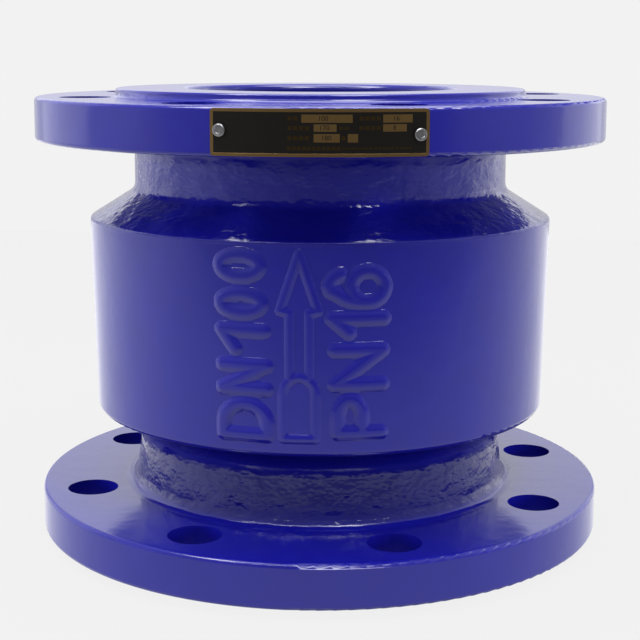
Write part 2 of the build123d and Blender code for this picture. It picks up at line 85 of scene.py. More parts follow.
def linear(hex_colour: str) -> tuple[float, float, float, float]:
    """Turns an sRGB hex colour into linear light.

    Args:
        hex_colour: Six hexadecimal digits.

    Returns:
        Red, green, blue and an alpha of 1.
    """
    channels = []
    for start in (0, 2, 4):
        value = int(hex_colour[start : start + 2], 16) / 255
        channels.append(value / 12.92 if value <= 0.04045 else ((value + 0.055) / 1.055) ** 2.4)
    return channels[0], channels[1], channels[2], 1.0


def add_node(
    tree: NodeTree,
    kind: str,
    inputs: dict[str | int, object] | None = None,
    **settings: object,
) -> Node:
    """Adds a node with its settings, and fills or links its inputs.

    Args:
        tree: Node tree that gets the node.
        kind: Blender's name for the node's type.
        inputs: Value or output socket for each input, by name or number.
        settings: Properties of the node itself.

    Returns:
        The new node.
    """
    node = tree.nodes.new(kind)
    for name, value in settings.items():
        setattr(node, name, value)
    for socket, value in (inputs or {}).items():
        if isinstance(value, NodeSocket):
            tree.links.new(value, node.inputs[socket])
        else:
            node.inputs[socket].default_value = value
    return node


def new_material(name: str) -> tuple[Material, NodeTree]:
    """Makes an empty node material.

    Args:
        name: Name of the real finish.

    Returns:
        The material and its empty node tree.
    """
    material = bpy.data.materials.new(name)
    material.use_nodes = True
    material.node_tree.nodes.clear()
    return material, material.node_tree


@dataclass(frozen=True)
class SprayedEnamel:
    """Glossy ultramarine enamel, sprayed thick over a sand casting.

    The eye gets a deep, slightly wet blue that mirrors the studio. On the necks and the shoulder it
    follows the sand's grains as soft bumps, and on the turned barrel and flanges only lies in waves.
    A darker blue is painted shade on the lower neck under the barrel and inside the port.
    """

    name: str = "sprayed_blue_enamel"
    thick_colour: str = "0b0b6b"
    thin_colour: str = "0e0e77"
    roughness: float = 0.14
    ior: float = 1.5
    # Painted shade: a darker blue on the lower neck under the barrel's overhang, and on the port's
    # walls.
    painted_shade_colour: str = "06063c"
    neck_shade_share: float = 0.45
    port_shade_share: float = 0.7
    port_radius: float = 52.5
    port_fade: float = 3.0
    # Sizes of the sand's grains and lumps, of the paint's waves and of its orange peel. The sand is
    # coarser than the real one, so that it shows.
    sand_grain: float = 1.9
    sand_lump: float = 7.5
    lump_squat: float = 1.7
    paint_wave: float = 13.0
    orange_peel: float = 1.6
    # Shares of each in the height of the relief.
    grain_share: float = 0.2
    wave_share: float = 0.16
    peel_share: float = 0.012
    bump_height: float = 0.7
    # Heights between which the lower neck swells towards the barrel, which turns its shine down to
    # the dark flange, and the height of that swell.
    swell: tuple[float, float] = (35.5, 50.0)
    swell_height: float = 8.0
    # Heights of the two necks, which are left as cast.
    lower_neck: tuple[float, float] = (20.0, 40.0)
    upper_neck: tuple[float, float] = (121.0, 148.0)
    # Offsets from a neck's limits between which its mask fades in at the foot and out at the head.
    fade_in: tuple[float, float] = (-0.5, 1.5)
    fade_out: tuple[float, float] = (-4.0, 0.5)

    def band(self, tree: NodeTree, height: NodeSocket, limits: tuple[float, float]) -> NodeSocket:
        """Makes a mask that is 1 between two heights.

        Args:
            tree: Node tree of the enamel.
            height: Socket with the height in metres.
            limits: Lowest and highest height.

        Returns:
            The mask's socket.
        """
        rise, fall = (
            add_node(
                tree,
                "ShaderNodeMapRange",
                {
                    0: height,
                    1: (limit + fade[0]) * MM,
                    2: (limit + fade[1]) * MM,
                    3: start,
                    4: 1.0 - start,
                },
                interpolation_type="SMOOTHSTEP",
            ).outputs[0]
            for limit, fade, start in zip(limits, (self.fade_in, self.fade_out), (0.0, 1.0))
        )
        return add_node(tree, "ShaderNodeMath", {0: rise, 1: fall}, operation="MULTIPLY").outputs[0]

    def build(self) -> Material:
        """Makes the enamel.

        Returns:
            The material.
        """
        material, tree = new_material(self.name)
        place = add_node(tree, "ShaderNodeTexCoord").outputs["Object"]
        height = add_node(tree, "ShaderNodeSeparateXYZ", {0: place}).outputs["Z"]
        squat = add_node(
            tree, "ShaderNodeMapping", {0: place, "Scale": (1.0, 1.0, self.lump_squat)}
        ).outputs[0]
        grains, lumps, waves, peel = (
            add_node(
                tree,
                "ShaderNodeTexNoise",
                {"Vector": where, "Scale": 1 / (size * MM), "Detail": detail},
            ).outputs[0]
            for where, size, detail in (
                (squat, self.sand_grain, 3.0),
                (squat, self.sand_lump, 2.0),
                (place, self.paint_wave, 2.0),
                (place, self.orange_peel, 1.0),
            )
        )
        sand = add_node(
            tree,
            "ShaderNodeMath",
            {0: grains, 1: self.grain_share, 2: lumps},
            operation="MULTIPLY_ADD",
        ).outputs[0]
        lower_neck_zone = self.band(tree, height, self.lower_neck)
        rough_zone = add_node(
            tree,
            "ShaderNodeMath",
            {0: lower_neck_zone, 1: self.band(tree, height, self.upper_neck)},
            operation="MAXIMUM",
        ).outputs[0]
        swell = add_node(
            tree,
            "ShaderNodeMapRange",
            {0: height, 1: self.swell[0] * MM, 2: self.swell[1] * MM},
            interpolation_type="SMOOTHSTEP",
        ).outputs[0]
        relief: NodeSocket | float = 0.0
        for pattern, share in (
            (peel, self.peel_share),
            (waves, self.wave_share),
            (sand, rough_zone),
            (swell, self.swell_height / self.bump_height),
        ):
            relief = add_node(
                tree,
                "ShaderNodeMath",
                {0: pattern, 1: share, 2: relief},
                operation="MULTIPLY_ADD",
            ).outputs[0]
        bump = add_node(
            tree, "ShaderNodeBump", {"Height": relief, "Distance": self.bump_height * MM}
        ).outputs[0]
        across = add_node(
            tree, "ShaderNodeVectorMath", {0: place, 1: (1.0, 1.0, 0.0)}, operation="MULTIPLY"
        ).outputs[0]
        radius = add_node(
            tree, "ShaderNodeVectorMath", {0: across}, operation="LENGTH"
        ).outputs["Value"]
        # Painted shade in the port: within this radius the blue darkens, fading out towards the
        # port's edge.
        inside = add_node(
            tree,
            "ShaderNodeMapRange",
            {
                0: radius,
                1: (self.port_radius - self.port_fade) * MM,
                2: self.port_radius * MM,
                3: self.port_shade_share,
                4: 0.0,
            },
        ).outputs[0]
        # Painted shade: the share of the darker blue, on the lower neck under the barrel and inside
        # the port.
        painted_shade = add_node(
            tree,
            "ShaderNodeMath",
            {0: lower_neck_zone, 1: self.neck_shade_share, 2: inside},
            operation="MULTIPLY_ADD",
        ).outputs[0]
        tint = add_node(
            tree,
            "ShaderNodeMix",
            {0: waves, 6: linear(self.thick_colour), 7: linear(self.thin_colour)},
            data_type="RGBA",
        ).outputs[2]
        # The blue with its painted shade mixed in.
        worn = add_node(
            tree,
            "ShaderNodeMix",
            {0: painted_shade, 6: tint, 7: linear(self.painted_shade_colour)},
            data_type="RGBA",
        ).outputs[2]
        shader = add_node(
            tree,
            "ShaderNodeBsdfPrincipled",
            {"Base Color": worn, "Roughness": self.roughness, "IOR": self.ior, "Normal": bump},
        )
        add_node(tree, "ShaderNodeOutputMaterial", {"Surface": shader.outputs[0]})
        return material


@dataclass(frozen=True)
class Mottled:
    """Finish whose colour drifts between two tones over a fine relief, both of a real size.

    The eye gets a surface that is even from afar and alive from near by.
    """

    name: str
    colour: str
    worn_colour: str
    roughness: float
    relief_size: float = 0.8
    relief_depth: float = 0.02
    relief_detail: float = 3.0
    stain: float = 7.0
    stain_detail: float = 4.0
    ior: float = 1.5

    def relief(self, tree: NodeTree, place: NodeSocket) -> NodeSocket:
        """Makes the height of the relief, here a fine grain."""
        inputs = {"Vector": place, "Scale": 1 / (self.relief_size * MM), "Detail": self.relief_detail}
        return add_node(tree, "ShaderNodeTexNoise", inputs).outputs[0]

    def shading(self, tree: NodeTree, stains: NodeSocket) -> dict[str, object]:
        """Sets how the surface shines."""
        return {"Roughness": self.roughness, "IOR": self.ior}

    def build(self) -> Material:
        """Makes the finish.

        Returns:
            The material.
        """
        material, tree = new_material(self.name)
        place = add_node(tree, "ShaderNodeTexCoord").outputs["Object"]
        stains = add_node(
            tree,
            "ShaderNodeTexNoise",
            {"Vector": place, "Scale": 1 / (self.stain * MM), "Detail": self.stain_detail},
        ).outputs[0]
        colour = add_node(
            tree,
            "ShaderNodeMix",
            {0: stains, 6: linear(self.colour), 7: linear(self.worn_colour)},
            data_type="RGBA",
        ).outputs[2]
        relief = {"Height": self.relief(tree, place), "Distance": self.relief_depth * MM}
        bump = add_node(tree, "ShaderNodeBump", relief).outputs[0]
        inputs = {"Base Color": colour, "Normal": bump, **self.shading(tree, stains)}
        shader = add_node(tree, "ShaderNodeBsdfPrincipled", inputs)
        add_node(tree, "ShaderNodeOutputMaterial", {"Surface": shader.outputs[0]})
        return material


@dataclass(frozen=True)
class PlainMetal(Mottled):
    """Rolled, drawn or pressed metal with a faint grain and small stains.

    The eye gets an even metal sheen, broken a little by handling marks.
    """

    clean_share: float = 0.75
    stained_share: float = 1.35

    def shading(self, tree: NodeTree, stains: NodeSocket) -> dict[str, object]:
        """Sets how the metal shines, less where it is stained.

        Args:
            tree: Node tree of the metal.
            stains: Socket with the share of the worn colour.

        Returns:
            Inputs of the shader.
        """
        clean, stained = self.roughness * self.clean_share, self.roughness * self.stained_share
        gloss = add_node(tree, "ShaderNodeMapRange", {0: stains, 3: clean, 4: stained}).outputs[0]
        return {"Metallic": 1.0, "Roughness": gloss}


@dataclass(frozen=True)
class TurnedMetal(PlainMetal):
    """Metal turned on a lathe, with fine rings around the valve's axis.

    The eye gets a bright metal whose reflections are drawn out across the tool's fine rings.
    """

    relief_size: float = 0.5
    stain: float = 9.0

    def relief(self, tree: NodeTree, place: NodeSocket) -> NodeSocket:
        """Makes the tool's rings.

        Args:
            tree: Node tree of the metal.
            place: Socket with the place on the object.

        Returns:
            Socket with the rings' height.
        """
        # At a scale of 1 the wave node repeats every pi / 10.
        scale = math.pi / (10 * self.relief_size * MM)
        return add_node(
            tree,
            "ShaderNodeTexWave",
            {"Vector": place, "Scale": scale, "Distortion": 0.6},
            wave_type="RINGS",
            rings_direction="Z",
        ).outputs[1]


@dataclass(frozen=True)
class MouldedRubber(Mottled):
    """Black EPDM rubber from a mould.

    The eye gets a matt black with a faint grey bloom.
    """

    name: str = "moulded_epdm_rubber"
    colour: str = "161617"
    worn_colour: str = "2a2a2b"
    roughness: float = 0.62
    relief_size: float = 0.6
    relief_depth: float = 0.03
    relief_detail: float = 2.0
    stain: float = 6.0


@dataclass(frozen=True)
class PrintedLacquer(Mottled):
    """Black lacquer in the etched field of the nameplate.

    The eye gets a satin black with faint specks.
    """

    name: str = "black_plate_lacquer"
    colour: str = "080706"
    worn_colour: str = "12100e"
    roughness: float = 0.3
    relief_size: float = 0.7
    stain: float = 0.7
    stain_detail: float = 3.0
    ior: float = 1.3


def activate(piece: Object | None) -> None:
    """Deselects every object, and then selects one piece for the operators that follow.

    Args:
        piece: Object to select and make active, or none before a new primitive.
    """
    bpy.ops.object.select_all(action="DESELECT")
    if piece:
        piece.select_set(True)
        bpy.context.view_layer.objects.active = piece


def apply_modifiers(piece: Object) -> None:
    """Applies all modifiers of a piece.

    Args:
        piece: Mesh object with its modifiers in order.
    """
    activate(piece)
    for modifier in list(piece.modifiers):
        bpy.ops.object.modifier_apply(modifier=modifier.name)


def bake_place(piece: Object) -> None:
    """Moves a piece's place, turn and size into its mesh."""
    activate(piece)
    bpy.ops.object.transform_apply(location=True, rotation=True, scale=True)


def join(pieces: list[Object], name: str) -> Object:
    """Joins pieces into one.

    Args:
        pieces: Mesh objects.
        name: Name of the joined piece.

    Returns:
        The joined piece.
    """
    activate(pieces[0])
    for piece in pieces:
        piece.select_set(True)
    bpy.ops.object.join()
    pieces[0].name = name
    return pieces[0]


def open_edit(piece: Object, chosen: Callable[[MeshPolygon], bool] | None = None) -> None:
    """Starts edit mode on one piece, with the chosen faces or everything selected.

    Args:
        piece: Mesh object.
        chosen: Says of a face whether it is selected.
    """
    activate(piece)
    bpy.ops.object.mode_set(mode="EDIT")
    bpy.ops.mesh.select_all(action="DESELECT" if chosen else "SELECT")
    if chosen:
        bpy.ops.object.mode_set(mode="OBJECT")
        for face in piece.data.polygons:
            face.select = chosen(face)
        bpy.ops.object.mode_set(mode="EDIT")


def close_edit() -> None:
    """Ends edit mode."""
    bpy.ops.object.mode_set(mode="OBJECT")


def dress(piece: Object, material: Material) -> None:
    """Gives a piece or a carried-over node one material.

    Args:
        piece: Mesh object.
        material: Finish of all its faces.
    """
    if not piece.data.materials:
        piece.data.materials.append(material)
    for slot in piece.material_slots:
        slot.material = material


def fit(piece: Object) -> Object:
    """Lets a new piece ride on the casting.

    Args:
        piece: Finished and dressed piece.

    Returns:
        The same piece.
    """
    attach(piece, CASTING)
    return piece


def arc(
    centre: tuple[float, float], reach: tuple[float, float], start: float, end: float, steps: int
) -> list[tuple[float, float]]:
    """Points on an elliptical arc.

    Args:
        centre: Centre of the ellipse.
        reach: Its half width and half height.
        start: First angle.
        end: Last angle.
        steps: Number of points.

    Returns:
        The points.
    """
    angles = [math.radians(start + (end - start) * step / (steps - 1)) for step in range(steps)]
    return [
        (centre[0] + reach[0] * math.cos(angle), centre[1] + reach[1] * math.sin(angle))
        for angle in angles
    ]


# Centre lines of the cast letters in a box of 1 by 1.
STROKES: dict[str, list[Line]] = {
    "D": [[(0, 0), (0, 1)] + arc((0.38, 0.5), (0.62, 0.5), 90, -90, 13) + [(0, 0)]],
    "N": [[(0, 0), (0, 1), (1, 0), (1, 1)]],
    "1": [[(1, 0), (1, 1), (0, 0.68)]],
    "0": [arc((0.5, 0.5), (0.5, 0.5), 90, 450, 29)],
    "P": [[(0, 0), (0, 1)] + arc((0.5, 0.72), (0.5, 0.28), 90, -90, 11) + [(0, 0.44)]],
    "6": [
        arc((0.52, 0.6), (0.44, 0.4), 30, 112, 8)
        + arc((0.62, 0.42), (0.62, 0.52), 130, 180, 6)
        + arc((0.5, 0.31), (0.5, 0.31), 180, 540, 25)
    ],
}


@dataclass(frozen=True)
class Glyph:
    """One cast letter: its foot and head in height, and its base and top along the barrel's arc."""

    letter: str
    foot: float
    head: float
    base_arc: float
    top_arc: float


@dataclass(frozen=True)
class Skin:
    """Section of a mark's soft skin: half widths of its flat top and foot, and its height."""

    flat: float
    reach: float
    relief: float
    rim_drop: float = 0.04

    def height(self, distance: float) -> float:
        """Height of the skin, flat over the centre line and sloping gently into the barrel.

        Args:
            distance: Distance from the nearest centre line.

        Returns:
            Height above the barrel, below zero at the mark's rim.
        """
        share = min(1.0, max(0.0, (distance - self.flat) / (self.reach - self.flat)))
        fall = share * share * (3 - 2 * share)
        return self.relief - (self.relief + self.rim_drop) * fall


@dataclass
class CastMarks:
    """Raised size and rating marks and the flow arrow, cast on the front of the barrel."""

    enamel: Material
    barrel_foot_radius: float = 86.28
    barrel_foot_height: float = 48.3
    barrel_draft: float = 1.5
    stroke: float = 4.8
    letter_skin: Skin = Skin(0.7, 3.15, 0.85)
    arrow_skin: Skin = Skin(0.1, 2.1, 0.55)
    sunk: float = 1.6
    grain: float = 0.4
    paint_passes: int = 3
    crease: float = 50.0
    size_mark: tuple[Glyph, ...] = (
        Glyph("D", 53.4, 68.9, -6.3, -26.6),
        Glyph("N", 69.4, 82.2, -6.6, -26.8),
        Glyph("1", 83.0, 94.2, -7.3, -27.0),
        Glyph("0", 95.2, 106.7, -8.1, -27.2),
        Glyph("0", 107.6, 119.7, -8.7, -27.4),
    )
    rating_mark: tuple[Glyph, ...] = (
        Glyph("P", 54.8, 70.9, 32.3, 12.8),
        Glyph("N", 71.5, 88.0, 32.7, 11.8),
        Glyph("1", 89.2, 98.8, 33.1, 10.9),
        Glyph("6", 99.5, 114.8, 33.4, 9.9),
    )
    # Corners of the arrow: places along the barrel's arc, and heights.
    arrow_head: Line = (
        (-1.1, 75.0),
        (-1.1, 98.2),
        (-4.2, 98.8),
        (2.2, 118.0),
        (8.6, 98.8),
        (5.5, 98.2),
        (5.5, 75.0),
    )
    arrow_tail: Line = (
        (-3.3, 55.0),
        (-3.3, 70.5),
        (-2.6, 73.4),
        (-0.6, 75.6),
        (2.2, 76.4),
        (5.0, 75.6),
        (7.0, 73.4),
        (7.7, 70.5),
        (7.7, 55.0),
        (-3.3, 55.0),
    )

    def wrap(self, piece: Object) -> None:
        """Bends a flat mark onto the drafted barrel.

        Args:
            piece: Flat mesh, X along the arc from the front, Y up and Z outwards.
        """
        slope = math.tan(math.radians(self.barrel_draft))
        for vertex in piece.data.vertices:
            along, height, out = vertex.co
            radius = self.barrel_foot_radius + (height - self.barrel_foot_height) * slope
            bearing = along / radius
            reach = (radius + out) * MM
            vertex.co = (reach * math.sin(bearing), -reach * math.cos(bearing), height * MM)
        piece.data.update()

    def sow(self, lines: list[Line]) -> tuple[KDTree, list[Vector]]:
        """Sets points close together along centre lines, to measure distances from them.

        Args:
            lines: Centre lines on the unrolled barrel.

        Returns:
            Search tree of the points, and the points.
        """
        points = []
        for line in lines:
            for start, end in zip(line, line[1:]):
                first, last = Vector((*start, 0.0)), Vector((*end, 0.0))
                count = max(1, math.ceil((last - first).length / (self.grain / 2)))
                points += [first.lerp(last, index / count) for index in range(count + 1)]
        tree = KDTree(len(points))
        for index, point in enumerate(points):
            tree.insert(point, index)
        tree.balance()
        return tree, points

    def ridges(self, name: str, lines: list[Line], skin: Skin) -> Object:
        """Models a mark as one soft skin over its centre lines, with a foot inside the barrel.

        Args:
            name: Name of the piece.
            lines: Centre lines on the unrolled barrel.
            skin: Section of the skin.

        Returns:
            The finished piece.
        """
        tree, points = self.sow(lines)
        left, right = min(point.x for point in points), max(point.x for point in points)
        low, high = min(point.y for point in points), max(point.y for point in points)
        width, height = right - left + 2 * skin.reach, high - low + 2 * skin.reach
        activate(None)
        bpy.ops.mesh.primitive_grid_add(
            x_subdivisions=math.ceil(width / self.grain),
            y_subdivisions=math.ceil(height / self.grain),
            size=1.0,
            location=((left + right) / 2, (low + high) / 2, -self.sunk),
        )
        piece = bpy.context.active_object
        piece.name = name
        piece.scale = (width, height, 1.0)
        bake_place(piece)

        def gap(point: Vector) -> float:
            """Distance of a point from the nearest centre line."""
            return tree.find(Vector((point.x, point.y, 0.0)))[2]

        open_edit(piece, lambda face: gap(face.center) > skin.reach)
        bpy.ops.mesh.delete(type="FACE")
        bpy.ops.mesh.select_all(action="SELECT")
        bpy.ops.mesh.extrude_region_move(TRANSFORM_OT_translate={"value": (0, 0, self.sunk)})
        bpy.ops.mesh.select_all(action="SELECT")
        bpy.ops.mesh.normals_make_consistent(inside=False)
        close_edit()
        for vertex in piece.data.vertices:
            if vertex.co.z > -self.sunk / 2:
                vertex.co.z = skin.height(gap(vertex.co))
        smooth = piece.modifiers.new("paint", "SMOOTH")
        smooth.factor = 0.5
        smooth.iterations = self.paint_passes
        apply_modifiers(piece)
        self.wrap(piece)
        bpy.ops.object.shade_smooth_by_angle(angle=math.radians(self.crease))
        dress(piece, self.enamel)
        return fit(piece)

    def letter_lines(self, glyphs: tuple[Glyph, ...]) -> list[Line]:
        """Places the letters' centre lines in their boxes, reading upwards.

        Args:
            glyphs: Letters with their boxes.

        Returns:
            The centre lines on the unrolled barrel.
        """
        half = self.stroke / 2
        lines = []
        for glyph in glyphs:
            lean = glyph.top_arc - glyph.base_arc
            room = glyph.head - glyph.foot - self.stroke
            for line in STROKES[glyph.letter]:
                placed = []
                for along, up in line:
                    rise = (half + (abs(lean) - self.stroke) * up) / abs(lean)
                    placed.append((glyph.base_arc + lean * rise, glyph.foot + half + room * along))
                lines.append(placed)
        return lines

    def build(self) -> list[Object]:
        """Models the marks.

        Returns:
            The pieces.
        """
        size, rating = self.letter_lines(self.size_mark), self.letter_lines(self.rating_mark)
        return [
            self.ridges("cast_size_mark", size, self.letter_skin),
            self.ridges("cast_rating_mark", rating, self.letter_skin),
            self.ridges("cast_flow_arrow", [self.arrow_head, self.arrow_tail], self.arrow_skin),
        ]


@dataclass(frozen=True)
class Panel:
    """One raised brass panel, by its edges from the middle of the nameplate."""

    left: float
    right: float
    low: float
    high: float


@dataclass(frozen=True)
class DashRow:
    """A row of plain dashes, where the plate's small print is: place, number, pitch and height."""

    start: float
    middle: float
    count: int
    pitch: float
    height: float


@dataclass
class Nameplate:
    """Etched brass plate with a black field, bent to the outlet flange's rim, and its rivets."""

    brass: Material
    tarnished: Material
    lacquer: Material
    rivet: Material
    width: float = 70.1
    height: float = 15.0
    thickness: float = 0.41
    back_radius: float = 108.05
    middle_height: float = 159.0
    centre_angle: float = 5.9
    border: float = 1.0
    etch: float = 0.08
    etch_slope: float = 0.06
    corner: float = 1.2
    edge_wear: float = 0.08
    cut_spacing: float = 2.0
    dash_fill: float = 0.72
    dash_relief: float = 0.4
    number_size: float = 2.2
    number_relief: float = 0.01
    rivet_angle: float = 16.86
    rivet_rise: float = -0.6
    rivet_head: float = 4.2
    rivet_height: float = 1.1
    rivet_round: float = 0.55
    rivet_crease: float = 35.0
    # Width and depth of each step of the dimple in a rivet's head.
    rivet_dimple: Line = ((0.35, 0.0), (0.25, -0.3), (0.45, -0.05))
    panels: tuple[Panel, ...] = (
        Panel(-5.7, 10.2, 3.2, 5.7),
        Panel(19.8, 29.3, 3.2, 5.7),
        Panel(-1.9, 5.2, 0.4, 2.7),
        Panel(19.8, 27.4, 0.4, 2.7),
        Panel(-1.9, 6.2, -2.9, -0.3),
        Panel(8.7, 11.9, -2.9, -0.3),
    )
    dash_rows: tuple[DashRow, ...] = (
        DashRow(-9.4, 4.5, 2, 1.8, 1.3),
        DashRow(13.0, 4.5, 4, 1.8, 1.3),
        DashRow(-9.4, 1.5, 4, 1.8, 1.3),
        DashRow(6.6, 1.5, 2, 1.8, 1.0),
        DashRow(13.0, 1.5, 4, 1.8, 1.3),
        DashRow(-9.4, -1.6, 4, 1.8, 1.3),
        DashRow(7.4, -1.6, 1, 1.8, 1.3),
        DashRow(-9.6, -4.8, 11, 1.55, 1.2),
        DashRow(7.6, -4.8, 16, 1.4, 0.6),
    )
    # Each number with its place along the plate and up it.
    numbers: tuple[tuple[str, float, float], ...] = (
        ("100", 1.0, 4.45),
        ("16", 24.0, 4.45),
        ("170", 1.4, 1.55),
        ("8", 23.5, 1.55),
        ("180", 2.0, -1.6),
    )

    def wrap(self, piece: Object) -> None:
        """Bends a flat piece to the rim.

        Args:
            piece: Flat mesh, X along the rim, Y up and Z outwards from the plate's back.
        """
        for vertex in piece.data.vertices:
            along, up, out = vertex.co
            bearing = along / (self.back_radius + self.thickness) + math.radians(self.centre_angle)
            reach = (self.back_radius + out) * MM
            vertex.co = (
                reach * math.sin(bearing),
                -reach * math.cos(bearing),
                (self.middle_height + up) * MM,
            )
        piece.data.update()

    def block(self, name: str, panel: Panel, level: float, height: float) -> Object:
        """Adds a flat block, or a rectangle where its height is zero.

        Args:
            name: Name of the piece.
            panel: Its edges.
            level: Height of its foot above the plate's back.
            height: Its own height.

        Returns:
            The block.
        """
        activate(None)
        bpy.ops.mesh.primitive_plane_add(
            size=1.0, location=((panel.left + panel.right) / 2, (panel.low + panel.high) / 2, level)
        )
        piece = bpy.context.active_object
        piece.name = name
        piece.scale = (panel.right - panel.left, panel.high - panel.low, 1.0)
        bake_place(piece)
        if height:
            open_edit(piece)
            bpy.ops.mesh.extrude_region_move(TRANSFORM_OT_translate={"value": (0, 0, height)})
            close_edit()
            self.slice(piece)
        return piece

    def slice(self, piece: Object) -> None:
        """Cuts a flat piece across every few millimetres so that it can bend.

        Args:
            piece: Flat mesh that is not yet bent.
        """
        reach = max(abs(vertex.co.x) for vertex in piece.data.vertices)
        count = int(reach / self.cut_spacing)
        open_edit(piece)
        for index in range(-count, count + 1):
            bpy.ops.mesh.select_all(action="SELECT")
            plane = (index * self.cut_spacing, 0, 0)
            bpy.ops.mesh.bisect(plane_co=plane, plane_no=(1, 0, 0))
        close_edit()

    def plate(self) -> Object:
        """Models the plate with its raised border and black field.

        Returns:
            The plate.
        """
        half_width, half_height = self.width / 2, self.height / 2
        outline = Panel(-half_width, half_width, -half_height, half_height)
        top = self.thickness + self.etch
        piece = self.block("etched_nameplate", outline, 0.0, 0.0)
        open_edit(piece)
        bpy.ops.mesh.bevel(offset=self.corner, segments=5, affect="VERTICES")
        bpy.ops.mesh.select_all(action="SELECT")
        bpy.ops.mesh.extrude_region_move(TRANSFORM_OT_translate={"value": (0, 0, top)})
        close_edit()
        open_edit(piece, lambda face: face.center.z > top - LEVEL_SLACK)
        bpy.ops.mesh.inset(thickness=self.border, depth=0.0)
        bpy.ops.mesh.inset(thickness=self.etch_slope, depth=-self.etch)
        close_edit()
        piece.data.materials.append(self.brass)
        piece.data.materials.append(self.lacquer)
        for face in piece.data.polygons:
            inside = abs(face.center.x) < half_width - self.border
            level = abs(face.center.z - self.thickness) < LEVEL_SLACK
            face.material_index = 1 if inside and level else 0
        self.slice(piece)
        bevel = piece.modifiers.new("worn_edge", "BEVEL")
        bevel.width = self.edge_wear
        bevel.segments = 2
        bevel.limit_method = "ANGLE"
        apply_modifiers(piece)
        self.wrap(piece)
        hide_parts("nameplate")
        return fit(piece)

    def raised(self, name: str, panels: tuple[Panel, ...], height: float, brass: Material) -> Object:
        """Models flat brass areas that stand out of the black field.

        Args:
            name: Name of the piece.
            panels: Edges of each area.
            height: Height above the field.
            brass: Finish of the areas.

        Returns:
            The areas as one piece.
        """
        blocks = [
            self.block(f"{name}_{index}", panel, self.thickness, height)
            for index, panel in enumerate(panels)
        ]
        areas = join(blocks, name)
        self.wrap(areas)
        dress(areas, brass)
        return fit(areas)

    def dashes(self) -> tuple[Panel, ...]:
        """Lays out the plain dashes.

        Returns:
            Edges of each dash.
        """
        panels = []
        for row in self.dash_rows:
            long, half = row.pitch * self.dash_fill, row.height / 2
            for index in range(row.count):
                left = row.start + index * row.pitch - long / 2
                panels.append(Panel(left, left + long, row.middle - half, row.middle + half))
        return tuple(panels)

    def stamped_numbers(self) -> Object:
        """Models the plain numbers on the panels.

        Returns:
            The numbers as one piece.
        """
        pieces = []
        level = self.thickness + self.etch + self.number_relief
        for digits, middle, up in self.numbers:
            activate(None)
            bpy.ops.object.text_add(location=(0, 0, 0))
            text = bpy.context.active_object.data
            text.body = digits
            text.size = self.number_size
            text.align_x = "CENTER"
            text.align_y = "CENTER"
            text.extrude = self.number_relief
            bpy.ops.object.convert(target="MESH")
            piece = bpy.context.active_object
            piece.location = (middle, up, level)
            bake_place(piece)
            pieces.append(piece)
        numbers = join(pieces, "nameplate_numbers")
        self.wrap(numbers)
        dress(numbers, self.lacquer)
        return fit(numbers)

    def rivets(self) -> Object:
        """Models both rivets with a drive dimple in the head.

        Returns:
            The rivets as one piece.
        """
        heads = []
        seat = self.back_radius + self.thickness + self.etch
        for side in (-1, 1):
            activate(None)
            bpy.ops.mesh.primitive_cylinder_add(
                vertices=40, radius=self.rivet_head / 2, depth=self.rivet_height
            )
            head = bpy.context.active_object
            open_edit(head, lambda face: face.normal.z > 0.9)
            bpy.ops.mesh.bevel(offset=self.rivet_round, segments=5)
            close_edit()
            open_edit(head, lambda face: face.normal.z > 0.99)
            for width, depth in self.rivet_dimple:
                bpy.ops.mesh.inset(thickness=width, depth=depth)
            close_edit()
            bearing = math.radians(self.centre_angle + side * self.rivet_angle)
            outwards = Vector((math.sin(bearing), -math.cos(bearing), 0))
            head.rotation_euler = outwards.to_track_quat("Z", "Y").to_euler()
            middle = outwards * (seat + self.rivet_height / 2)
            level = self.middle_height + side * self.rivet_rise
            head.location = (middle + Vector((0, 0, level))) * MM
            head.scale = (MM, MM, MM)
            bake_place(head)
            bpy.ops.object.shade_smooth_by_angle(angle=math.radians(self.rivet_crease))
            heads.append(head)
        pair = join(heads, "plate_rivets")
        dress(pair, self.rivet)
        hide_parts("nameplate_rivets")
        return fit(pair)

    def build(self) -> list[Object]:
        """Models the plate, its panels and its rivets.

        Returns:
            The pieces.
        """
        dash_height = self.etch * self.dash_relief
        return [
            self.plate(),
            self.raised("nameplate_panels", self.panels, self.etch, self.brass),
            self.raised("nameplate_dashes", self.dashes(), dash_height, self.tarnished),
            self.stamped_numbers(),
            self.rivets(),
        ]


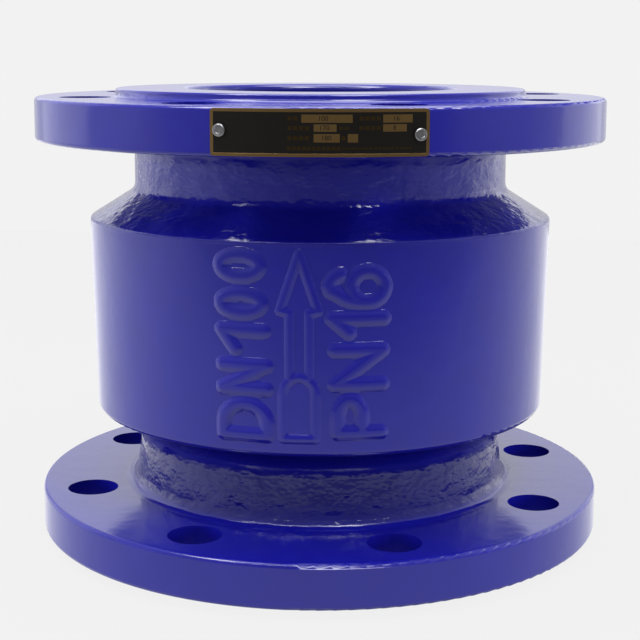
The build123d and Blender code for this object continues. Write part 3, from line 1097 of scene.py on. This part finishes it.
@dataclass
class ClosingSpring:
    """Cold-wound compression spring with closed, ground ends, wound at its length with the disc shut.
    """

    wire: Material
    foot: float = 61.85
    head: float = 113.95
    mean_radius: float = 17.5
    wire_diameter: float = 2.5
    turns: float = 7.5
    closed_turns: float = 1.0
    # Pitch of a closed turn, and depth ground off each end, in diameters of the wire.
    closed_pitch: float = 1.02
    ground: float = 0.25
    points_per_turn: int = 40
    crease: float = 40.0
    lift: float = 24.0
    anchor_height: float = 114.0

    def rise(self, turn: float, span: float) -> float:
        """Height of the wire's centre above the first end, as a share of the whole rise.

        Args:
            turn: Turns from the first end.
            span: The whole rise.

        Returns:
            Share between 0 and 1.
        """
        closed = self.wire_diameter * self.closed_pitch * self.closed_turns / span
        middle = self.turns - 2 * self.closed_turns
        if turn < self.closed_turns:
            return closed * turn / self.closed_turns
        if turn > self.turns - self.closed_turns:
            return 1 - closed * (self.turns - turn) / self.closed_turns
        return closed + (1 - 2 * closed) * (turn - self.closed_turns) / middle

    def build(self) -> Object:
        """Winds the spring.

        Returns:
            The finished piece.
        """
        data = bpy.data.curves.new("wound_closing_spring", "CURVE")
        data.dimensions = "3D"
        data.bevel_depth = self.wire_diameter / 2 * MM
        data.bevel_resolution = 4
        data.use_fill_caps = True
        spline = data.splines.new("POLY")
        count = int(self.turns * self.points_per_turn) + 1
        spline.points.add(count - 1)
        ground = self.wire_diameter * self.ground
        span = self.head - self.foot - 2 * ground
        for index, point in enumerate(spline.points):
            turn = self.turns * index / (count - 1)
            angle = turn * 2 * math.pi
            point.co = (
                self.mean_radius * math.cos(angle) * MM,
                self.mean_radius * math.sin(angle) * MM,
                (self.foot + ground + span * self.rise(turn, span)) * MM,
                1.0,
            )
        piece = bpy.data.objects.new("wound_closing_spring", data)
        bpy.context.scene.collection.objects.link(piece)
        activate(piece)
        bpy.ops.object.convert(target="MESH")
        piece = bpy.context.active_object
        open_edit(piece)
        for level, normal in ((self.foot, (0, 0, -1)), (self.head, (0, 0, 1))):
            bpy.ops.mesh.select_all(action="SELECT")
            bpy.ops.mesh.bisect(
                plane_co=(0, 0, level * MM), plane_no=normal, use_fill=True, clear_outer=True
            )
        bpy.ops.mesh.select_all(action="SELECT")
        bpy.ops.mesh.normals_make_consistent(inside=False)
        close_edit()
        bpy.ops.object.shade_smooth_by_angle(angle=math.radians(self.crease))
        dress(piece, self.wire)
        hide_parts("closing_spring")
        fit(piece)
        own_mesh(piece)
        return piece


@dataclass(frozen=True)
class Softbox:
    """Rectangular soft light that faces the valve: place and size in metres, power in watts."""

    name: str
    place: tuple[float, float, float]
    size: tuple[float, float]
    watts: float
    mirrored: bool = True


@dataclass
class Studio:
    """Pale floor, soft light all round and the camera at the photograph's angle."""

    camera_distance: float = 549.33
    camera_height: float = 185.28
    camera_azimuth: float = 6.0
    camera_pitch: float = 8.514
    # The roll is in radians.
    camera_roll: float = 0.0028
    lens: float = 79.93
    shift: float = -0.09375
    backdrop_colour: str = "f2f2f2"
    # The studio is dim in front of the valve and bright behind it, and its dim end is turned aside.
    # Both lists give shares of the way from front to back, and the level there.
    dark_bearing: float = 16.0
    surround_peak: float = 2.0
    surround: Line = ((0.0, 0.24), (0.3, 0.6), (0.5, 0.88), (0.75, 0.9), (1.0, 0.85))
    floor_peak: float = 1.5
    floor_glow: Line = ((0.0, 0.15), (0.27, 0.45), (0.38, 0.9), (0.5, 1.2), (0.75, 1.5))
    matt_colour: str = "9a9a9a"
    matt_share: float = 0.04
    # The floor's size and drop and the height that the lights face are in metres.
    floor_size: float = 1.7
    floor_drop: float = 0.0002
    light_aim: float = 0.09
    lights: tuple[Softbox, ...] = (
        Softbox("left_softbox", (-1.27, 0.5, 0.5), (1.1, 1.1), 2.4),
        Softbox("right_softbox", (1.07, 0.9, 0.5), (1.1, 1.1), 2.4),
        Softbox("back_softbox", (0.0, 1.35, 0.72), (2.2, 0.8), 3.0),
        Softbox("front_strip", (0.0, -0.7, 1.05), (1.5, 0.1), 6.5),
        Softbox("overhead_softbox", (0.0, 0.05, 1.15), (0.9, 0.6), 11.9),
        Softbox("left_fill", (-0.95, -0.35, 0.2), (0.5, 0.3), 7.4, mirrored=False),
        Softbox("right_fill", (0.95, -0.35, 0.2), (0.5, 0.3), 6.6, mirrored=False),
        Softbox("left_key", (-0.54, -0.25, 1.13), (0.3, 0.3), 5.0),
        Softbox("right_key", (0.3, -0.52, 1.13), (0.3, 0.3), 5.0),
    )

    def camera(self) -> None:
        """Sets up the camera at the photograph's place."""
        data = bpy.data.cameras.new("camera")
        data.lens = self.lens
        data.sensor_width = 36.0
        data.shift_y = self.shift
        data.clip_start = 0.01
        camera = bpy.data.objects.new("camera", data)
        bpy.context.scene.collection.objects.link(camera)
        azimuth = math.radians(self.camera_azimuth)
        camera.location = (
            self.camera_distance * MM * math.sin(azimuth),
            -self.camera_distance * MM * math.cos(azimuth),
            self.camera_height * MM,
        )
        aim = Euler((math.radians(90 - self.camera_pitch), 0, azimuth)).to_matrix()
        camera.rotation_euler = (aim @ Matrix.Rotation(self.camera_roll, 3, "Z")).to_euler()
        bpy.context.scene.camera = camera

    def graded(
        self,
        tree: NodeTree,
        place: NodeSocket,
        reach: float,
        levels: Line,
        peak: float,
    ) -> NodeSocket:
        """Grades a light from the front to the back of the studio.

        Args:
            tree: Node tree of the floor or the surround.
            place: Socket with the place on the floor or the direction to the surround.
            reach: Depth at the back end, and minus the depth at the front end.
            levels: Share of the way from front to back, and the light's level there.
            peak: Level that counts as full.

        Returns:
            Socket with the level as a share of the peak.
        """
        bearing = math.radians(self.dark_bearing)
        depth = add_node(
            tree,
            "ShaderNodeVectorMath",
            {0: place, 1: (-math.sin(bearing), math.cos(bearing), 0.0)},
            operation="DOT_PRODUCT",
        ).outputs["Value"]
        share = add_node(tree, "ShaderNodeMapRange", {0: depth, 1: -reach, 2: reach})
        ramp = add_node(tree, "ShaderNodeValToRGB", {0: share.outputs[0]})
        elements = ramp.color_ramp.elements
        for index, (position, level) in enumerate(levels):
            element = elements[index] if index < 2 else elements.new(position)
            element.position = position
            element.color = (level / peak, level / peak, level / peak, 1.0)
        return ramp.outputs[0]

    def unseen(self, tree: NodeTree, kind: str, glow: NodeSocket, peak: float) -> NodeSocket:
        """Lights the valve by a graded glow that the camera sees as the even backdrop.

        Args:
            tree: Node tree of the floor or the surround.
            kind: Blender's name for the node that gives off light.
            glow: Socket with the level as a share of the peak.
            peak: Level that counts as full.

        Returns:
            The mixed shader's socket.
        """
        direct = add_node(tree, "ShaderNodeLightPath").outputs["Is Camera Ray"]
        lit = add_node(tree, kind, {0: glow, 1: peak}).outputs[0]
        seen = add_node(tree, kind, {0: linear(self.backdrop_colour), 1: 1.0}).outputs[0]
        return add_node(tree, "ShaderNodeMixShader", {0: direct, 1: lit, 2: seen}).outputs[0]

    def floor(self) -> None:
        """Makes the pale floor, which mostly glows and is a little matt."""
        activate(None)
        bpy.ops.mesh.primitive_plane_add(size=self.floor_size, location=(0, 0, -self.floor_drop))
        floor = bpy.context.active_object
        floor.name = "floor"
        bake_place(floor)
        material, tree = new_material("pale_matt_floor")
        place = add_node(tree, "ShaderNodeTexCoord").outputs["Object"]
        glow = self.graded(tree, place, self.floor_size / 2, self.floor_glow, self.floor_peak)
        sweep = self.unseen(tree, "ShaderNodeEmission", glow, self.floor_peak)
        matt = add_node(tree, "ShaderNodeBsdfDiffuse", {"Color": linear(self.matt_colour)})
        shader = add_node(
            tree, "ShaderNodeMixShader", {0: self.matt_share, 1: sweep, 2: matt.outputs[0]}
        )
        add_node(tree, "ShaderNodeOutputMaterial", {"Surface": shader.outputs[0]})
        dress(floor, material)

    def world(self) -> None:
        """Makes the white surround."""
        world = bpy.data.worlds.new("white_surround")
        bpy.context.scene.world = world
        world.use_nodes = True
        tree = world.node_tree
        tree.nodes.clear()
        towards = add_node(tree, "ShaderNodeTexCoord").outputs["Generated"]
        glow = self.graded(tree, towards, 1.0, self.surround, self.surround_peak)
        mixed = self.unseen(tree, "ShaderNodeBackground", glow, self.surround_peak)
        add_node(tree, "ShaderNodeOutputWorld", {"Surface": mixed})

    def hang(self, box: Softbox) -> None:
        """Hangs a soft light, turned to the valve.

        Args:
            box: Its place, size and power.
        """
        data = bpy.data.lights.new(box.name, "AREA")
        data.shape = "RECTANGLE"
        data.size, data.size_y = box.size
        data.energy = box.watts
        light = bpy.data.objects.new(box.name, data)
        bpy.context.scene.collection.objects.link(light)
        light.location = box.place
        towards = Vector((0, 0, self.light_aim)) - Vector(box.place)
        light.rotation_euler = towards.to_track_quat("-Z", "Y").to_euler()
        light.visible_camera = False
        light.visible_glossy = box.mirrored

    def build(self) -> None:
        """Sets up the camera, floor and lights."""
        self.camera()
        self.floor()
        self.world()
        for box in self.lights:
            self.hang(box)
        bpy.context.scene.view_settings.view_transform = "Standard"
        LOG.info("studio is set")


@dataclass
class ValveInternals:
    """Carried-over nodes inside the casting and on its rim, dressed in their own metals."""

    nodes: dict[str, Object]

    def build(self) -> dict[str, Material]:
        """Dresses the nodes.

        Returns:
            Each finish's material by its name.
        """
        turned_parts = ("seat_ring", "inlet_guide_spider", "valve_disc", "seal_retainer")
        turned_parts += ("lift_stop_sleeve", "lower_spring_seat", "upper_spring_seat")
        screws = ("seat_ring_screws", "seal_retainer_screws", "stem_nut", "stem_lock_washer")
        finishes = {
            # Cool and bright, with faint rings from the tool.
            TurnedMetal("turned_stainless_steel", "bfc0bd", "a9aaa6", 0.26): turned_parts,
            # Almost a mirror, drawn out a little across very fine rings.
            TurnedMetal("ground_stainless_stem", "c9c9c6", "b4b4b0", 0.18, 0.3, 0.008): ("stem",),
            # Warm and golden, the one warm colour in the port.
            TurnedMetal("turned_tin_bronze", "b78a4c", "8f6a3a", 0.34): (
                "lower_guide_bush",
                "upper_guide_bush",
            ),
            # Clean and even, as bought fasteners are.
            PlainMetal("stainless_fasteners", "c2c2be", "a3a39d", 0.28): screws,
            # Darker than the turned parts, with a long highlight along the wire.
            PlainMetal("drawn_spring_wire", "8c8a86", "6d6b66", 0.3): ("closing_spring",),
            # Blue-black, and duller than the bushes it holds.
            PlainMetal("blued_ring_steel", "3b3d42", "2a2b2e", 0.4): (
                "lower_retaining_ring",
                "upper_retaining_ring",
            ),
            # Brown-gold and satin under its lacquer, as the plate's border and panels are.
            PlainMetal("lacquered_sheet_brass", "8a7048", "6a5536", 0.36): ("nameplate",),
            # Light grey, with a soft highlight on the round of the head.
            PlainMetal("headed_rivet_steel", "98989b", "7d7d82", 0.28): ("nameplate_rivets",),
            MouldedRubber(): ("seat_o_ring", "disc_seal_ring"),
        }
        materials = {}
        for finish, names in finishes.items():
            material = finish.build()
            materials[finish.name] = material
            for name in names:
                dress(self.nodes[name], material)
                LOG.info("node %s: %s", name, material.name)
        return materials


def main() -> None:
    """Loads the frame and builds the pieces in order."""
    logging.basicConfig(level=logging.INFO, format="%(name)s: %(message)s")
    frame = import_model()
    nodes = frame["nodes"]
    enamel = SprayedEnamel().build()
    dress(nodes["valve_body"], enamel)
    Studio().build()
    metals = ValveInternals(nodes).build()
    pieces = CastMarks(enamel).build()
    pieces += Nameplate(
        brass=metals["lacquered_sheet_brass"],
        # Dull brown brass, for dashes that only just show in the black field.
        tarnished=PlainMetal("etched_tarnished_brass", "46381f", "33291a", 0.45).build(),
        lacquer=PrintedLacquer().build(),
        rivet=metals["headed_rivet_steel"],
    ).build()
    pieces.append(ClosingSpring(metals["drawn_spring_wire"]).build())
    for piece in pieces:
        LOG.info("piece %s: %d faces", piece.name, len(piece.data.polygons))


if __name__ == "__main__":
    main()
